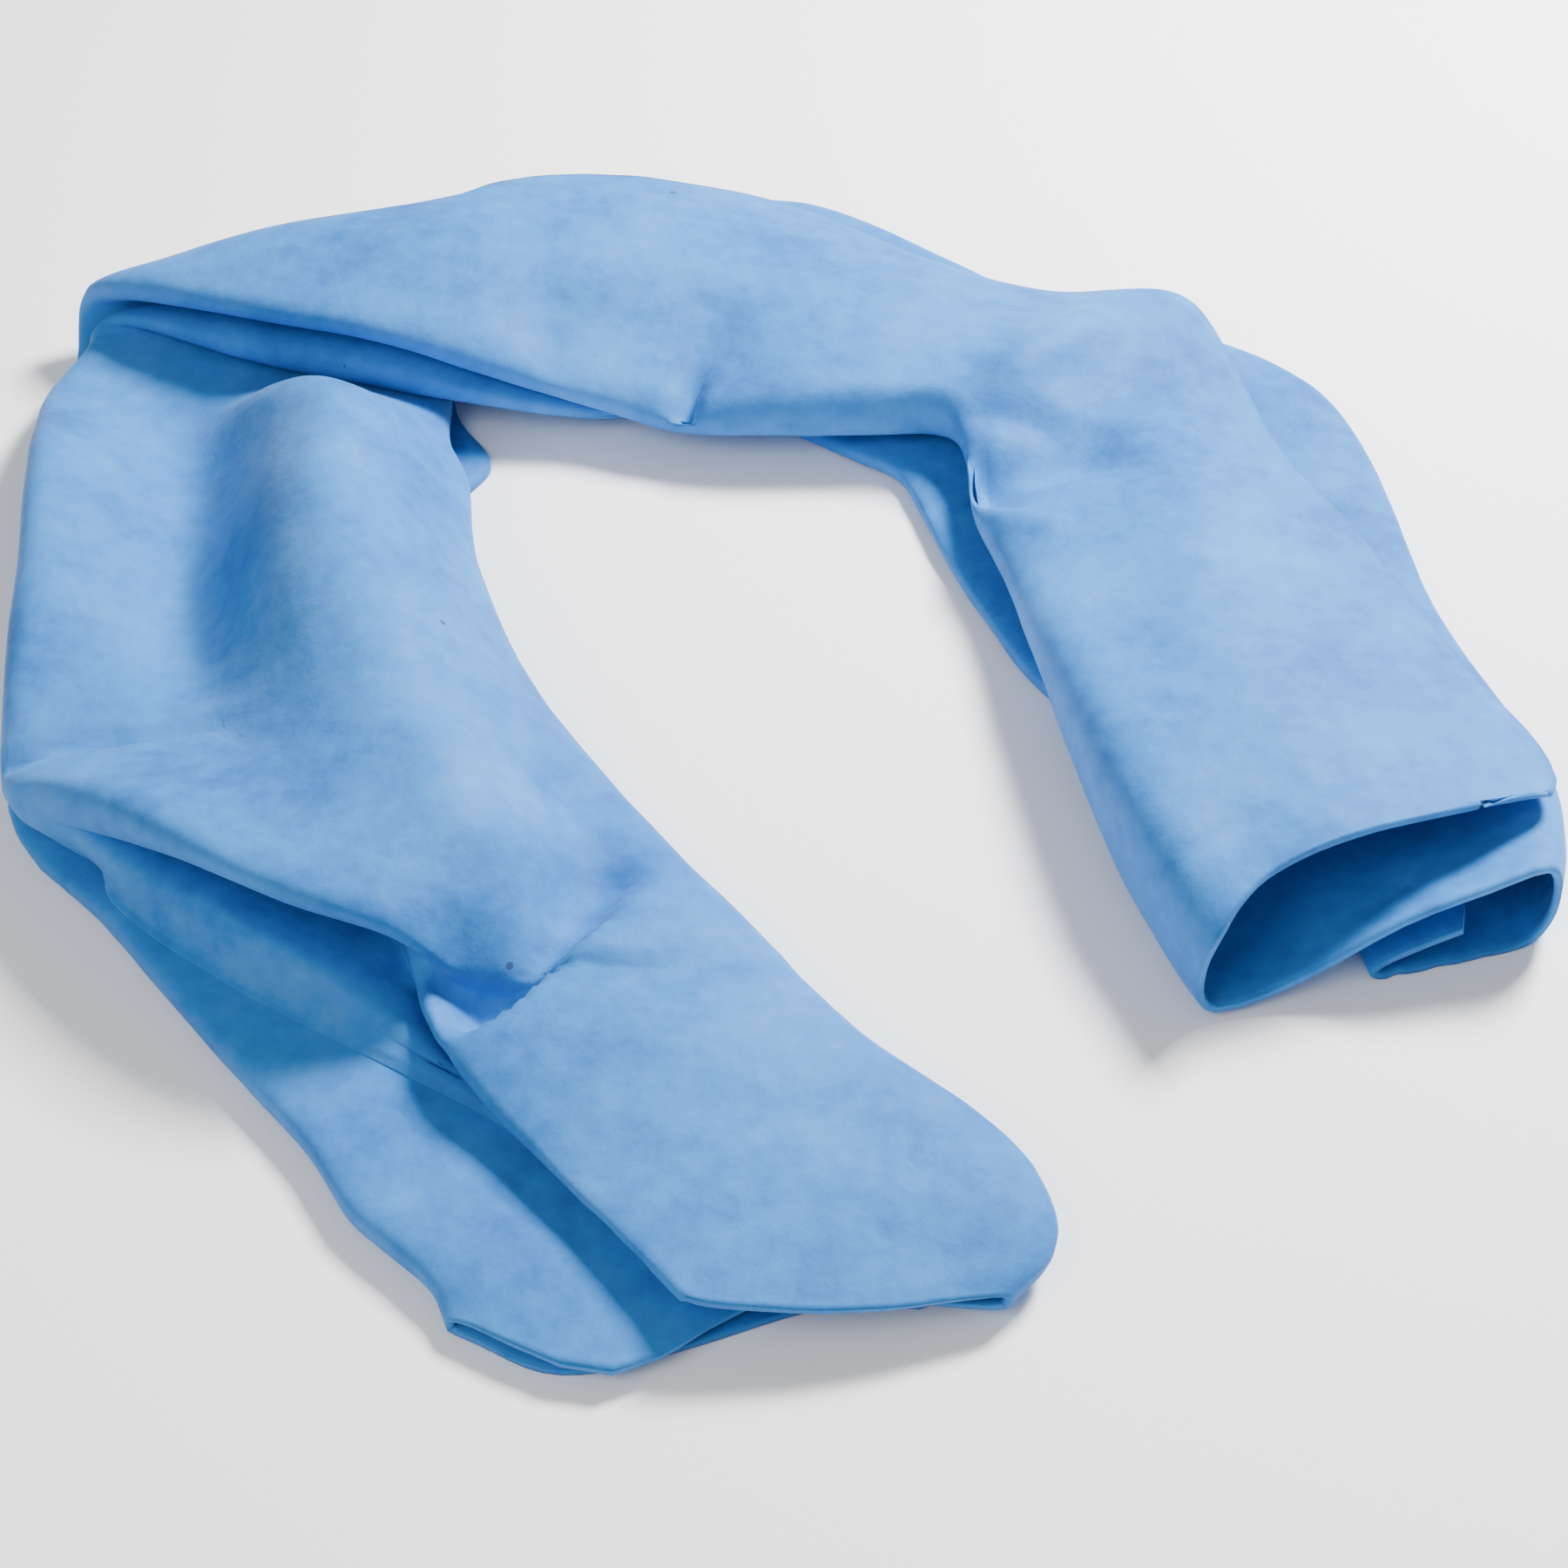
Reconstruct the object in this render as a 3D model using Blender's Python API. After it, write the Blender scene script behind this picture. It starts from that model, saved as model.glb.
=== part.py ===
"""Cooling towel: one thin sheet, folded lengthwise into a flat ribbon and laid down as an open neck loop.

The sheet has four lengthwise panels.  Panel A ends in one long free edge, the
neck fold joins A to B, the rim fold joins B to C, the roll fold joins C to D,
and D ends in the other long free edge.  The ribbon starts at the right end,
runs round the back of the loop, is folded under along a slanted line at the
back left corner and comes forward as the left arm, where the panels lie
turned over, with C on top.
"""

import math
from collections import namedtuple

import bpy
import numpy as np

for obj in list(bpy.data.objects):
    bpy.data.objects.remove(obj, do_unlink=True)

# ---- driving sizes, metres -------------------------------------------------
TOWEL_LENGTH = 0.840    # cut length of the sheet
THICKNESS = 0.0018      # the sheet itself
LOFT = 0.050            # height scale of the folds
LOOP_SPAN = TOWEL_LENGTH / 2.1   # side of the square the loop is laid out in
WRAP_PITCH = 2.5 * THICKNESS     # step between panels where they wrap the slanted fold
BEND_MOST = 5.0         # parts of the span: the roundest fold tip
TIP = 0.3               # parts of the span: how far a tip stands out of its fold line
CRISP = 0.45            # 0 rounds the folds off, 1 runs through every point

PLAN_PARTS = 400.0      # plan columns are parts of LOOP_SPAN in this many
LOFT_PARTS = 50.0       # height columns are parts of LOFT in this many

# mesh steps across: panel A, neck fold, B, rim fold, C, roll fold, D
ACROSS_CUTS = (1, 2, 1, 2) + (3, 3) + (1, 1, 1, 2) + (3, 3) + (2, 2, 2, 2, 2) + (3, 3) + (1, 1)

# ---- sections, right end first --------------------------------------------
# plan: neck fold x, y and rim fold x, y
# a: height at the free edge, middle, neck fold
# b: height at the neck fold, middle, rim fold
# c: height at the rim, rim side, middle, middle far side, roll side, roll fold
# d: height at the roll fold and at the free edge
# reach: place between neck fold (0) and rim fold (1) of the free edge of A,
#        the roll fold and the free edge of D
# step: place of the step in C and how far C goes back under it
# slide: how far the lines of C are pushed forward along the ribbon, D with its last
# wrap: 1 on the slanted fold line, where the panels go round each other
# cuts: mesh steps from this section to the next
# trim: how far the cut end of A is set back at its free edge
# base: how far the lines of B are pushed forward, from the neck fold, A with them
FLAT = (0, 0, 0, 0, 0, 0)
Section = namedtuple("Section", "name plan a b c d reach step slide wrap cuts trim base", defaults=[0, FLAT[:5]])
SECTIONS = [
    Section("right end", (92, -62, 175.5, -39), (30, 36, 28), (0, 19, 27), FLAT, (4.2, 10), (1, 0.5, 0.74), (0.72, -0.07), FLAT, 0, 1, 20),
    Section("right lip", (86, -50, 179.5, -27), (28, 36, 29), (0, 14, 24), FLAT, (4.2, 9), (0.99, 0.48, 0.75), (0.7, -0.07), FLAT, 0, 2, 9),
    Section("right low", (75, -18, 182, -3), (25, 35, 31), (1, 8, 20), FLAT, (4.2, 6), (0.96, 0.4, 0.76), (0.67, -0.07), FLAT, 0, 2),
    Section("right mid", (68, 12, 175, 26), (20, 34, 29), (5, 9, 16), FLAT, (4.2, 5), (0.93, 0.2, 0.7), (0.5, -0.07), FLAT, 0, 2),
    Section("right upper", (62, 40, 165, 58), (18, 31, 25), (8, 9, 14), FLAT, (4.2, 4), (0.91, 0.03, 0.6), (0.45, -0.07), FLAT, 0, 1),
    Section("right kink", (57, 68, 161, 88), (17, 29, 21), (9, 9, 13), FLAT, (4.2, 4), (0.86, -0.04, 0.5), (0.45, -0.07), FLAT, 0, 2),
    Section("right dent", (49, 94, 158, 120), (16, 24, 20), (9, 9, 12), FLAT, (4.2, 4), (0.76, -0.06, 0.5), (0.45, -0.07), FLAT, 0, 2),
    Section("corner low", (49, 118, 148, 154), (21, 20, 23), (9, 9, 12), FLAT, (4.2, 4), (0.74, -0.13, 0.5), (0.45, -0.07), FLAT, 0, 2),
    Section("corner high", (42, 132, 116, 178), (28, 27, 25), (9, 9, 12), FLAT, (4.2, 4), (0.93, -0.14, 0.5), (0.45, -0.07), FLAT, 0, 2),
    Section("back right", (20, 131, 79, 187), (18, 26, 24), (9, 9, 12), FLAT, (4.2, 4), (0.93, 0.02, 0.5), (0.45, -0.07), FLAT, 0, 2),
    Section("back mid", (-4, 131, 50, 211), (18, 27, 24), (8, 9, 12), FLAT, (4.2, 4), (0.85, 0.16, 0.55), (0.48, -0.07), FLAT, 0, 2),
    Section("back tuck", (-28, 132, 9, 242), (20, 28, 18), (8, 10, 13), FLAT, (4.2, 4), (0.84, 0.24, 0.6), (0.55, -0.07), FLAT, 0, 2),
    Section("back left", (-50, 141, -28, 236), (24, 33, 18), (10, 13, 15), (2, 2, 2, 2, 2, 5), (8, 7), (0.94, 0.04, 0.55), (0.5, -0.07), FLAT, 0, 1),
    Section("fold near", (-80, 144, -57, 226), (30, 37, 28), (19, 20, 21), (9, 9, 9, 9, 9, 11.5), (17, 14), (1, -0.02, 0.5), (0.45, -0.07), FLAT, 0, 2),
    Section("fold high", (-110, 149, -80, 218), (33, 40, 35), (28, 26, 24), (13, 13, 13, 13, 13, 12), (23, 18), (0.99, -0.03, 0.5), (0.45, -0.07), FLAT, 0, 1),
    Section("fold tip", (-146, 160, -87, 213), (33, 38, 34), (27, 26, 25), (13, 13, 13, 13, 13, 12), (21, 20), (1, -0.01, 0.5), (0.45, -0.07), FLAT, 0, 2),
    Section("fold before", (-191, 174, -95, 211), (30, 35, 29), (21, 22, 21), (12, 12, 12, 12, 12, 12), (15, 15), (1, 0.03, 0.5), (0.45, -0.07), FLAT, 0, 4),
    Section("slanted fold", (-192, 175, -95, 212), (16, 18, 16), (13, 13, 12), (11, 11, 11, 11, 11, 11), (12, 12), (1, 0.03, 0.5), (0.45, -0.07), FLAT, 1, 4),
    Section("fold after", (-193, 173, -94, 210), (0, 0, 0), (4.2, 3.2, 3.2), (9, 9, 9, 9, 9, 10.2), (6, 6), (0.98, 0.03, 0.5), (0.45, -0.07), FLAT, 0, 2),
    Section("left under", (-204, 151, -92, 152), (0, 0, 0), (4.2, 3.2, 3.2), (9, 8.5, 8.5, 8.5, 8.5, 10.4), (6, 6), (1, 0.02, 0.48), (0.55, -0.16), FLAT, 0, 2),
    Section("left back", (-203, 131, -91, 131), (0, 0, 0), (4.2, 3.2, 3.2), (13, 32, 28, 9, 10, 17), (6, 6), (1.12, 0.02, 0.46), (0.6, -0.2), (2, 2, 0, 0, 0, 0), 0, 2),
    Section("left high", (-198, 110, -84, 114), (0, 0, 0), (4.2, 3.2, 3.2), (15, 38, 32, 9, 18, 24), (6, 6), (0.95, 0, 0.45), (0.62, -0.24), FLAT, 0, 2),
    Section("left valley", (-194, 78, -80, 80), (0, 0, 0), (4.2, 3.2, 3.2), (15, 44, 38, 9.5, 21, 26), (7, 6), (0.95, 0, 0.4), (0.6, -0.22), FLAT, 0, 2),
    Section("left mound", (-190, 42, -66, 42), (0, 0, 0), (4.2, 3.2, 3.2), (15, 46, 41, 13, 21, 26), (8, 6), (0.95, 0, 0.35), (0.58, -0.2), FLAT, 0, 2),
    Section("left crease", (-186, 7, -48, 10), (0, 0, 0), (4.2, 3.2, 3.2), (15, 42, 42, 24, 20, 18), (8, 6), (0.95, 0, 0.3), (0.62, -0.25), (0, 16, 18, 4, 3, 5), 0, 2),
    Section("roll back", (-183, -4, -24, -24), (0, 0, 0), (4.2, 3.2, 3.2), (15, 36, 40, 40, 36, 20), (9, 6), (0.95, 0.01, 0.26), (0.62, -0.21), (0, 30, 38, 29, 16, 4), 0, 2),
    Section("roll lip", (-177, -14, -4, -50), (0, 0, 0), (4.2, 3.2, 3.2), (15, 26, 36, 37, 32, 17), (9, 6), (0.95, 0.02, 0.18), (0.58, -0.12), (0, 21, 31, 30, 15, 0), 0, 3),
    Section("pocket", (-169, -22, 5, -63), (0, 0, 0), (4.2, 3.2, 3.2), (15, 20, 26, 7, 8, 10), (7, 6), (0.95, 0.03, 0.07), (0.54, -0.12), (0, 12, 20, 6, 5, -3), 0, 2),
    Section("shelf", (-157, -34, 15, -76), (0, 0, 0), (4.2, 4, 3.2), (16, 20, 23, 11, 14, 12), (8, 7), (0.95, 0.06, 0.01), (0.47, 0), (0, 9, 19, 8, 8, 0), 0, 2),
    Section("flap start", (-139, -57, 26, -86), (0, 0, 0), (4.2, 4, 3.2), (16, 20, 21, 8, 12, 10), (8, 7), (0.95, 0.09, 0.04), (0.38, 0.08), (0, 2, 15, 2, 1, -5), 0, 2),
    Section("flap upper", (-117, -83, 39, -96), (0, 0, 0), (4.2, 4, 3.2), (15, 19, 18, 8, 10, 9), (8, 7), (0.95, 0.14, 0.09), (0.28, 0.13), (0, -2, 5, -3, -6, -12), 0, 2),
    Section("flap mid", (-101, -101, 49, -106), (0, 0, 0), (4.2, 4, 3.2), (14, 18, 15, 9, 8.5, 8.5), (7, 6.5), (0.95, 0.29, 0.25), (0.23, 0.21), (0, -5, 0, -2, -4, -7), 0, 2),
    Section("flap low", (-92, -118, 55, -118), (0, 0, 0), (4.2, 4, 3.2), (13, 17, 14, 9, 8.5, 8.5), (7, 6.5), (0.95, 0.42, 0.39), (0.26, 0.28), (0, -3, -1, -4, -4, -4), 0, 2),
    Section("flap end", (-73, -134, 56, -130), (0, 0, 0), (4.2, 4, 3.2), (11, 15, 14.5, 8.6, 8.5, 8.5), (6.8, 6.3), (0.92, 0.47, 0.44), (0.27, 0.3), (0, 1, 1, -2, -3, -4), 0, 2, 0, (0, 3, 0, 0, 0)),
    Section("left end", (-68, -143, 45, -141), (0, 0, 0), (4.2, 3.2, 3.2), (8, 12, 15, 8.6, 8.5, 8.5), (6.8, 6.3), (0.85, 0.5, 0.47), (0.38, 0.22), (0, 7, 4, -1, -4, -6), 0, 0, 0, (2, 18, -4, -3, 0)),
]


def mix(low, high, share):
    """Value part of the way from low to high."""
    return low + (high - low) * share


def bend(top, low):
    """How far a fold's last points sit from its tip, by the height it spans."""
    return min(max(abs(top - low) / 2, 1.4), BEND_MOST)


def across(row, length):
    """Control points of one section: place across, height, forward slide and wrap rank."""
    a_reach, roll, d_reach = row.reach
    edge, back = row.step
    neck = bend(row.a[2], row.b[0]) / length
    rim = bend(row.b[2], row.c[0]) / length
    turn = bend(row.c[5], row.d[0]) / length
    if d_reach > roll:      # D is rolled back over C
        near, tip, after = 0.8 * turn, roll - TIP / length, roll + 0.8 * turn
    else:                   # D runs on flat as the edge of C
        near, tip, after = 0.03, roll, mix(roll, d_reach, 0.35)
    return [
        (a_reach, row.a[0], row.trim * a_reach + row.base[3], 3),
        (mix(a_reach, 0.45, 0.45), mix(row.a[0], row.a[1], 0.6), row.trim * 0.80 + row.base[2], 3),
        (0.42, row.a[1], row.trim * 0.66 + mix(row.base[1], row.base[2], 0.5), 3),
        (0.20, mix(row.a[1], row.a[2], 0.6), row.trim * 0.55 + mix(row.base[0], row.base[1], 0.7), 3),
        (0.8 * neck, row.a[2], row.base[0], 3),
        (-TIP / length, mix(row.a[2], row.b[0], 0.5), row.base[0], 2.5),
        (0.8 * neck, row.b[0], row.base[0], 2),
        (0.30, mix(row.b[0], row.b[1], 0.3), row.base[1], 2),
        (0.55, row.b[1], row.base[2], 2),
        (0.78, mix(row.b[1], row.b[2], 0.5), row.base[3], 2),
        (1.0 - 0.6 * rim, row.b[2], row.base[4], 2),
        (1.0 + TIP / length, mix(row.b[2], row.c[0], 0.5), row.base[4], 1),
        (1.0 - 0.6 * rim, row.c[0], row.slide[0], 0),
        (mix(edge, 0.93, 0.5), row.c[1], row.slide[1], 0),
        (edge, row.c[2], row.slide[2], 0),
        (edge + back, row.c[3], row.slide[3], 0),
        (mix(roll, edge + back, 0.5), row.c[4], row.slide[4], 0),
        (roll + near, row.c[5], row.slide[5], 0),
        (tip, mix(row.c[5], row.d[0], 0.5), row.slide[5], 0.5),
        (after, row.d[0], row.slide[5], 1),
        (mix(roll, d_reach, 0.60), mix(row.d[0], row.d[1], 0.6), row.slide[5], 1),
        (d_reach, row.d[1], row.slide[5], 1),
    ]


def control_net():
    """Control points of the whole sheet, a row for each section."""
    plan = LOOP_SPAN / PLAN_PARTS
    lift = LOFT / LOFT_PARTS
    net = []
    for row in SECTIONS:
        fx, fy, rx, ry = row.plan
        ux, uy = rx - fx, ry - fy
        length = math.hypot(ux, uy)
        # forward along the ribbon, square to the section line
        nx, ny = -uy / length, ux / length
        if row.name in LEFT_ARM:
            nx, ny = -nx, -ny
        line = []
        for place, height, slide, rank in across(row, length):
            x = (fx + ux * place + nx * slide) * plan
            y = (fy + uy * place + ny * slide) * plan
            z = THICKNESS / 2 + height * lift
            if row.wrap:
                x -= WRAP_PITCH * (rank + 0.4) * 0.31 * row.wrap
                y += WRAP_PITCH * (rank + 0.4) * 0.95 * row.wrap
            line.append((x, y, z))
        net.append(line)
    return np.array(net)


LEFT_ARM = {row.name for row in SECTIONS[18:]}


def basis(cuts):
    """Weights and slopes of a smooth run, between a B-spline and a curve through every point."""
    spans = len(cuts)
    places = [(i, step / count) for i, count in enumerate(cuts) for step in range(count)]
    places.append((spans - 1, 1.0))
    weights = np.zeros((len(places), spans + 3))
    slopes = np.zeros((len(places), spans + 3))
    for k, (i, t) in enumerate(places):
        soft = np.array([(1 - t) ** 3, 3 * t ** 3 - 6 * t ** 2 + 4, -3 * t ** 3 + 3 * t ** 2 + 3 * t + 1, t ** 3]) / 6
        firm = np.array([-t ** 3 + 2 * t ** 2 - t, 3 * t ** 3 - 5 * t ** 2 + 2, -3 * t ** 3 + 4 * t ** 2 + t, t ** 3 - t ** 2]) / 2
        soft_slope = np.array([-(1 - t) ** 2, 3 * t ** 2 - 4 * t, -3 * t ** 2 + 2 * t + 1, t ** 2]) / 2
        firm_slope = np.array([-3 * t ** 2 + 4 * t - 1, 9 * t ** 2 - 10 * t, -9 * t ** 2 + 8 * t + 1, 3 * t ** 2 - 2 * t]) / 2
        weights[k, i:i + 4] = mix(soft, firm, CRISP)
        slopes[k, i:i + 4] = mix(soft_slope, firm_slope, CRISP)
    # the points before the first and past the last carry straight on
    for table in (weights, slopes):
        table[:, 1] += 2 * table[:, 0]
        table[:, 2] -= table[:, 0]
        table[:, -2] += 2 * table[:, -1]
        table[:, -3] -= table[:, -1]
    return weights[:, 1:-1], slopes[:, 1:-1]


def middle_surface():
    """Points and normals of the sheet's middle surface, rows along the ribbon."""
    net = control_net()
    along, along_slope = basis([row.cuts for row in SECTIONS[:-1]])
    over, over_slope = basis(ACROSS_CUTS)
    grid = np.einsum("ai,bj,ijk->abk", along, over, net)
    du = np.einsum("ai,bj,ijk->abk", along_slope, over, net)
    dv = np.einsum("ai,bj,ijk->abk", along, over_slope, net)
    n = np.cross(du, dv)
    return grid, n / np.maximum(np.linalg.norm(n, axis=2, keepdims=True), 1e-12)


def thick_sheet(name, grid, n):
    """Closed solid from a middle surface: two skins and the cut edge."""
    top = grid + n * THICKNESS / 2
    low = grid - n * THICKNESS / 2
    rows, cols = grid.shape[:2]
    verts = np.concatenate([top.reshape(-1, 3), low.reshape(-1, 3)])
    verts[:, 2] = np.maximum(verts[:, 2], 0.0)
    offset = rows * cols
    at = lambda i, j: i * cols + j
    faces = []
    for i in range(rows - 1):
        for j in range(cols - 1):
            quad = (at(i, j), at(i + 1, j), at(i + 1, j + 1), at(i, j + 1))
            faces.append(quad)
            faces.append(tuple(offset + k for k in reversed(quad)))
    ring = ([at(0, j) for j in range(cols)] + [at(i, cols - 1) for i in range(1, rows)]
            + [at(rows - 1, j) for j in range(cols - 2, -1, -1)] + [at(i, 0) for i in range(rows - 2, 0, -1)])
    for k, a in enumerate(ring):
        b = ring[(k + 1) % len(ring)]
        faces.append((a, b, offset + b, offset + a))
    centre = (verts.min(axis=0) + verts.max(axis=0)) / 2
    verts -= (centre[0], centre[1], 0.0)
    mesh = bpy.data.meshes.new(name)
    mesh.from_pydata(verts.tolist(), [], faces)
    mesh.update()
    obj = bpy.data.objects.new(name, mesh)
    bpy.context.scene.collection.objects.link(obj)
    return obj


def sponge_material():
    """Light blue damp PVA sponge sheet."""
    mat = bpy.data.materials.new("pva_sheet")
    mat.use_nodes = True
    shader = mat.node_tree.nodes["Principled BSDF"]
    shader.inputs["Base Color"].default_value = (0.24, 0.43, 0.71, 1.0)
    shader.inputs["Roughness"].default_value = 0.8
    return mat


towel = thick_sheet("towel", *middle_surface())
towel.data.materials.append(sponge_material())
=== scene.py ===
"""Cooling towel: the looks of one damp sponge sheet, folded and laid down as an open neck loop.

The sheet has four lengthwise panels.  Panel A ends in a long free edge, the
neck fold joins A to B, the rim fold joins B to C, the roll fold joins C to D,
and D ends in the other free edge.  The script builds that one sheet again,
finer than the solid it stands for, then adds its creases and dents, gives it
its sponge material, and sets up the floor, the lights and the camera.
"""

from __future__ import annotations

import logging
import math
from dataclasses import dataclass
from enum import Enum

import bpy
import numpy as np
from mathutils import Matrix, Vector, noise

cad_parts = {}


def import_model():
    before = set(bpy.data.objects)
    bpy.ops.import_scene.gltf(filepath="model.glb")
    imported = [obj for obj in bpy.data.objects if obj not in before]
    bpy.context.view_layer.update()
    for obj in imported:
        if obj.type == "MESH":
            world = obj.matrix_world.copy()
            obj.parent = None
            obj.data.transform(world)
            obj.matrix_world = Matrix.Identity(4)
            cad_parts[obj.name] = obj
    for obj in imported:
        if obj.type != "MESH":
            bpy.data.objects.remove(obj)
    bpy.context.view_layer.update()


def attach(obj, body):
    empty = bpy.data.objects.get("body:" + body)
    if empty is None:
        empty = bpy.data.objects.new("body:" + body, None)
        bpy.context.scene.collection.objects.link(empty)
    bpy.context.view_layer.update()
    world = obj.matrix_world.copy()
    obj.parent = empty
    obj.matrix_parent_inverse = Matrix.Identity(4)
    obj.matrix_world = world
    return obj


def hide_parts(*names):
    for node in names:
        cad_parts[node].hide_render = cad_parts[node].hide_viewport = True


LOG = logging.getLogger("cooling_towel")
Two = tuple[float, float]
Three = tuple[float, float, float]
Four = tuple[float, float, float, float]
Five = tuple[float, float, float, float, float]
Six = tuple[float, float, float, float, float, float]
Value = float | np.ndarray
FLAT: Six = (0, 0, 0, 0, 0, 0)
TINY = 1e-12        # keeps a division by a length from failing
NODE_STEP = 190     # distance between nodes in the shader editor
MIX_FACTOR = 0      # numbers of the Mix node's sockets, which share their names
MIX_FLOATS = (2, 3)
MIX_COLOURS = (6, 7)
MIX_FLOAT_OUT = 0
MIX_COLOUR_OUT = 2


class Arm(Enum):
    """Which way up the folded ribbon lies."""

    UPRIGHT = 1     # right arm and back: panel A on top
    TURNED = -1     # left arm: panel C on top


class Panel(Enum):
    """The four lengthwise panels, by the control lines that they span."""

    A = (0.0, 4.6)
    B = (5.4, 10.6)
    C = (11.4, 17.6)
    D = (18.4, 21.0)


@dataclass(frozen=True)
class SheetSizes:
    """Real sizes of the sheet and of the loop it is laid in, in metres.

    Args:
        length: cut length of the sheet.
        width: cut width of the sheet.
        thickness: thickness of the sponge sheet.
        loft: height scale of the folds.
        plan_parts: plan columns are parts of the span in this many.
        loft_parts: height columns are parts of the loft in this many.
        crisp: 0 rounds the folds off, 1 runs through every control point.
        bend_most: roundest fold tip, in parts of the span.
        bend_least: sharpest fold tip, in the same parts.
        tip: how far a fold tip stands out of its fold line, in the same parts.
        centre: middle of the laid-out loop in the same parts.
        lengths_per_span: how often the span goes into the sheet's length.
        wrap_layers: step between panels in the slanted fold, in thicknesses.
        wrap_first: share of a step at which the first panel lies.
        wrap_way: plan direction square to the slanted fold.
    """

    length: float = 0.840
    width: float = 0.330
    thickness: float = 0.0018
    loft: float = 0.050
    plan_parts: float = 400.0
    loft_parts: float = 50.0
    crisp: float = 0.45
    bend_most: float = 5.0
    bend_least: float = 1.4
    tip: float = 0.3
    centre: Two = (-12.0, 40.9)
    lengths_per_span: float = 2.1
    wrap_layers: float = 2.5
    wrap_first: float = 0.4
    wrap_way: Two = (-0.31, 0.95)

    @property
    def span(self) -> float:
        """Side of the square the loop is laid out in."""
        return self.length / self.lengths_per_span

    @property
    def part(self) -> float:
        """One part of the span, in metres."""
        return self.span / self.plan_parts

    @property
    def lift(self) -> float:
        """One part of the loft, in metres."""
        return self.loft / self.loft_parts

    @property
    def wrap_pitch(self) -> float:
        """Step between panels where they wrap the slanted fold."""
        return self.wrap_layers * self.thickness


@dataclass(frozen=True)
class Across:
    """Places across the ribbon, from the neck fold 0 to the rim fold 1, and shares between them.

    Args:
        a_outer: place that A's second line leans to, by the same share, from its edge.
        a_middle: place of A's middle.
        a_neck: place of A's line beside the neck fold.
        b_neck: place of B's line beside the neck fold.
        b_middle: place of B's middle.
        b_rim: place of B's line beside the rim fold.
        c_rim: place that C's line beside the rim fold leans to.
        trim: shares of the trim that reach A's second, third and fourth lines.
        neck_bend: how far the neck fold's lines stand off its tip, in bends.
        rim_bend: the same for the rim fold.
        roll_bend: the same for the roll fold.
        edge_gap: gap beside the roll fold where D runs on flat.
        edge_share: where D's first line lies between the roll fold and its edge there.
        d_share: where D's middle line lies between the roll fold and its edge.
        near: share that leans a line to the nearer of two heights.
        far: share that leans a line to the farther of two heights.
        base_far: share that leans a line to the farther of two pushes.
    """

    a_outer: float = 0.45
    a_middle: float = 0.42
    a_neck: float = 0.20
    b_neck: float = 0.30
    b_middle: float = 0.55
    b_rim: float = 0.78
    c_rim: float = 0.93
    trim: Three = (0.80, 0.66, 0.55)
    neck_bend: float = 0.8
    rim_bend: float = 0.6
    roll_bend: float = 0.8
    edge_gap: float = 0.03
    edge_share: float = 0.35
    d_share: float = 0.60
    near: float = 0.3
    far: float = 0.6
    base_far: float = 0.7


@dataclass(frozen=True)
class Ripple:
    """Slight unevenness of the damp sheet.

    Args:
        size: how far it moves the sheet, in metres.
        length: distance from one ripple to the next, in metres.
        finer: how many times shorter the second ripples are.
        second: strength of the second ripples beside the first.
        ease: share of the push out of the surface that is taken off.
        rise: share of the push that is left upwards.
        places: where in the noise the push along x, y and z is read, so that they differ.
    """

    size: float = 0.0008
    length: float = 0.022
    finer: float = 2.3
    second: float = 0.4
    ease: float = 0.4
    rise: float = 0.6
    places: tuple[Three, Three, Three] = ((0.0, 0.0, 0.0), (17.3, 5.1, 9.7), (41.9, 23.7, 3.3))


@dataclass(frozen=True)
class Section:
    """One section across the folded ribbon.

    Args:
        name: what the section passes through.
        plan: neck fold x, y and rim fold x, y, in parts of the span.
        a: height of A at its free edge, middle and neck fold.
        b: height of B at the neck fold, middle and rim fold.
        c: height of C at the rim, rim side, middle, far side, roll side and roll fold.
        d: height of D at the roll fold and at its free edge.
        reach: place, from neck fold 0 to rim fold 1, of A's edge, the roll fold and D's edge.
        step: place of the step in C and how far C goes back under it.
        slide: how far the lines of C are pushed forward.
        wrap: 1 on the slanted fold, where the panels go round each other.
        cuts: mesh steps to the next section.
        trim: how far A's cut end is set back at its free edge.
        base: how far the lines of B are pushed forward, from the neck fold; A follows.
    """

    name: str
    plan: Four
    a: Three
    b: Three
    c: Six
    d: Two
    reach: Three
    step: Two
    slide: Six = FLAT
    wrap: float = 0.0
    cuts: int = 11
    trim: float = 0.0
    base: Five = (0, 0, 0, 0, 0)


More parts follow.
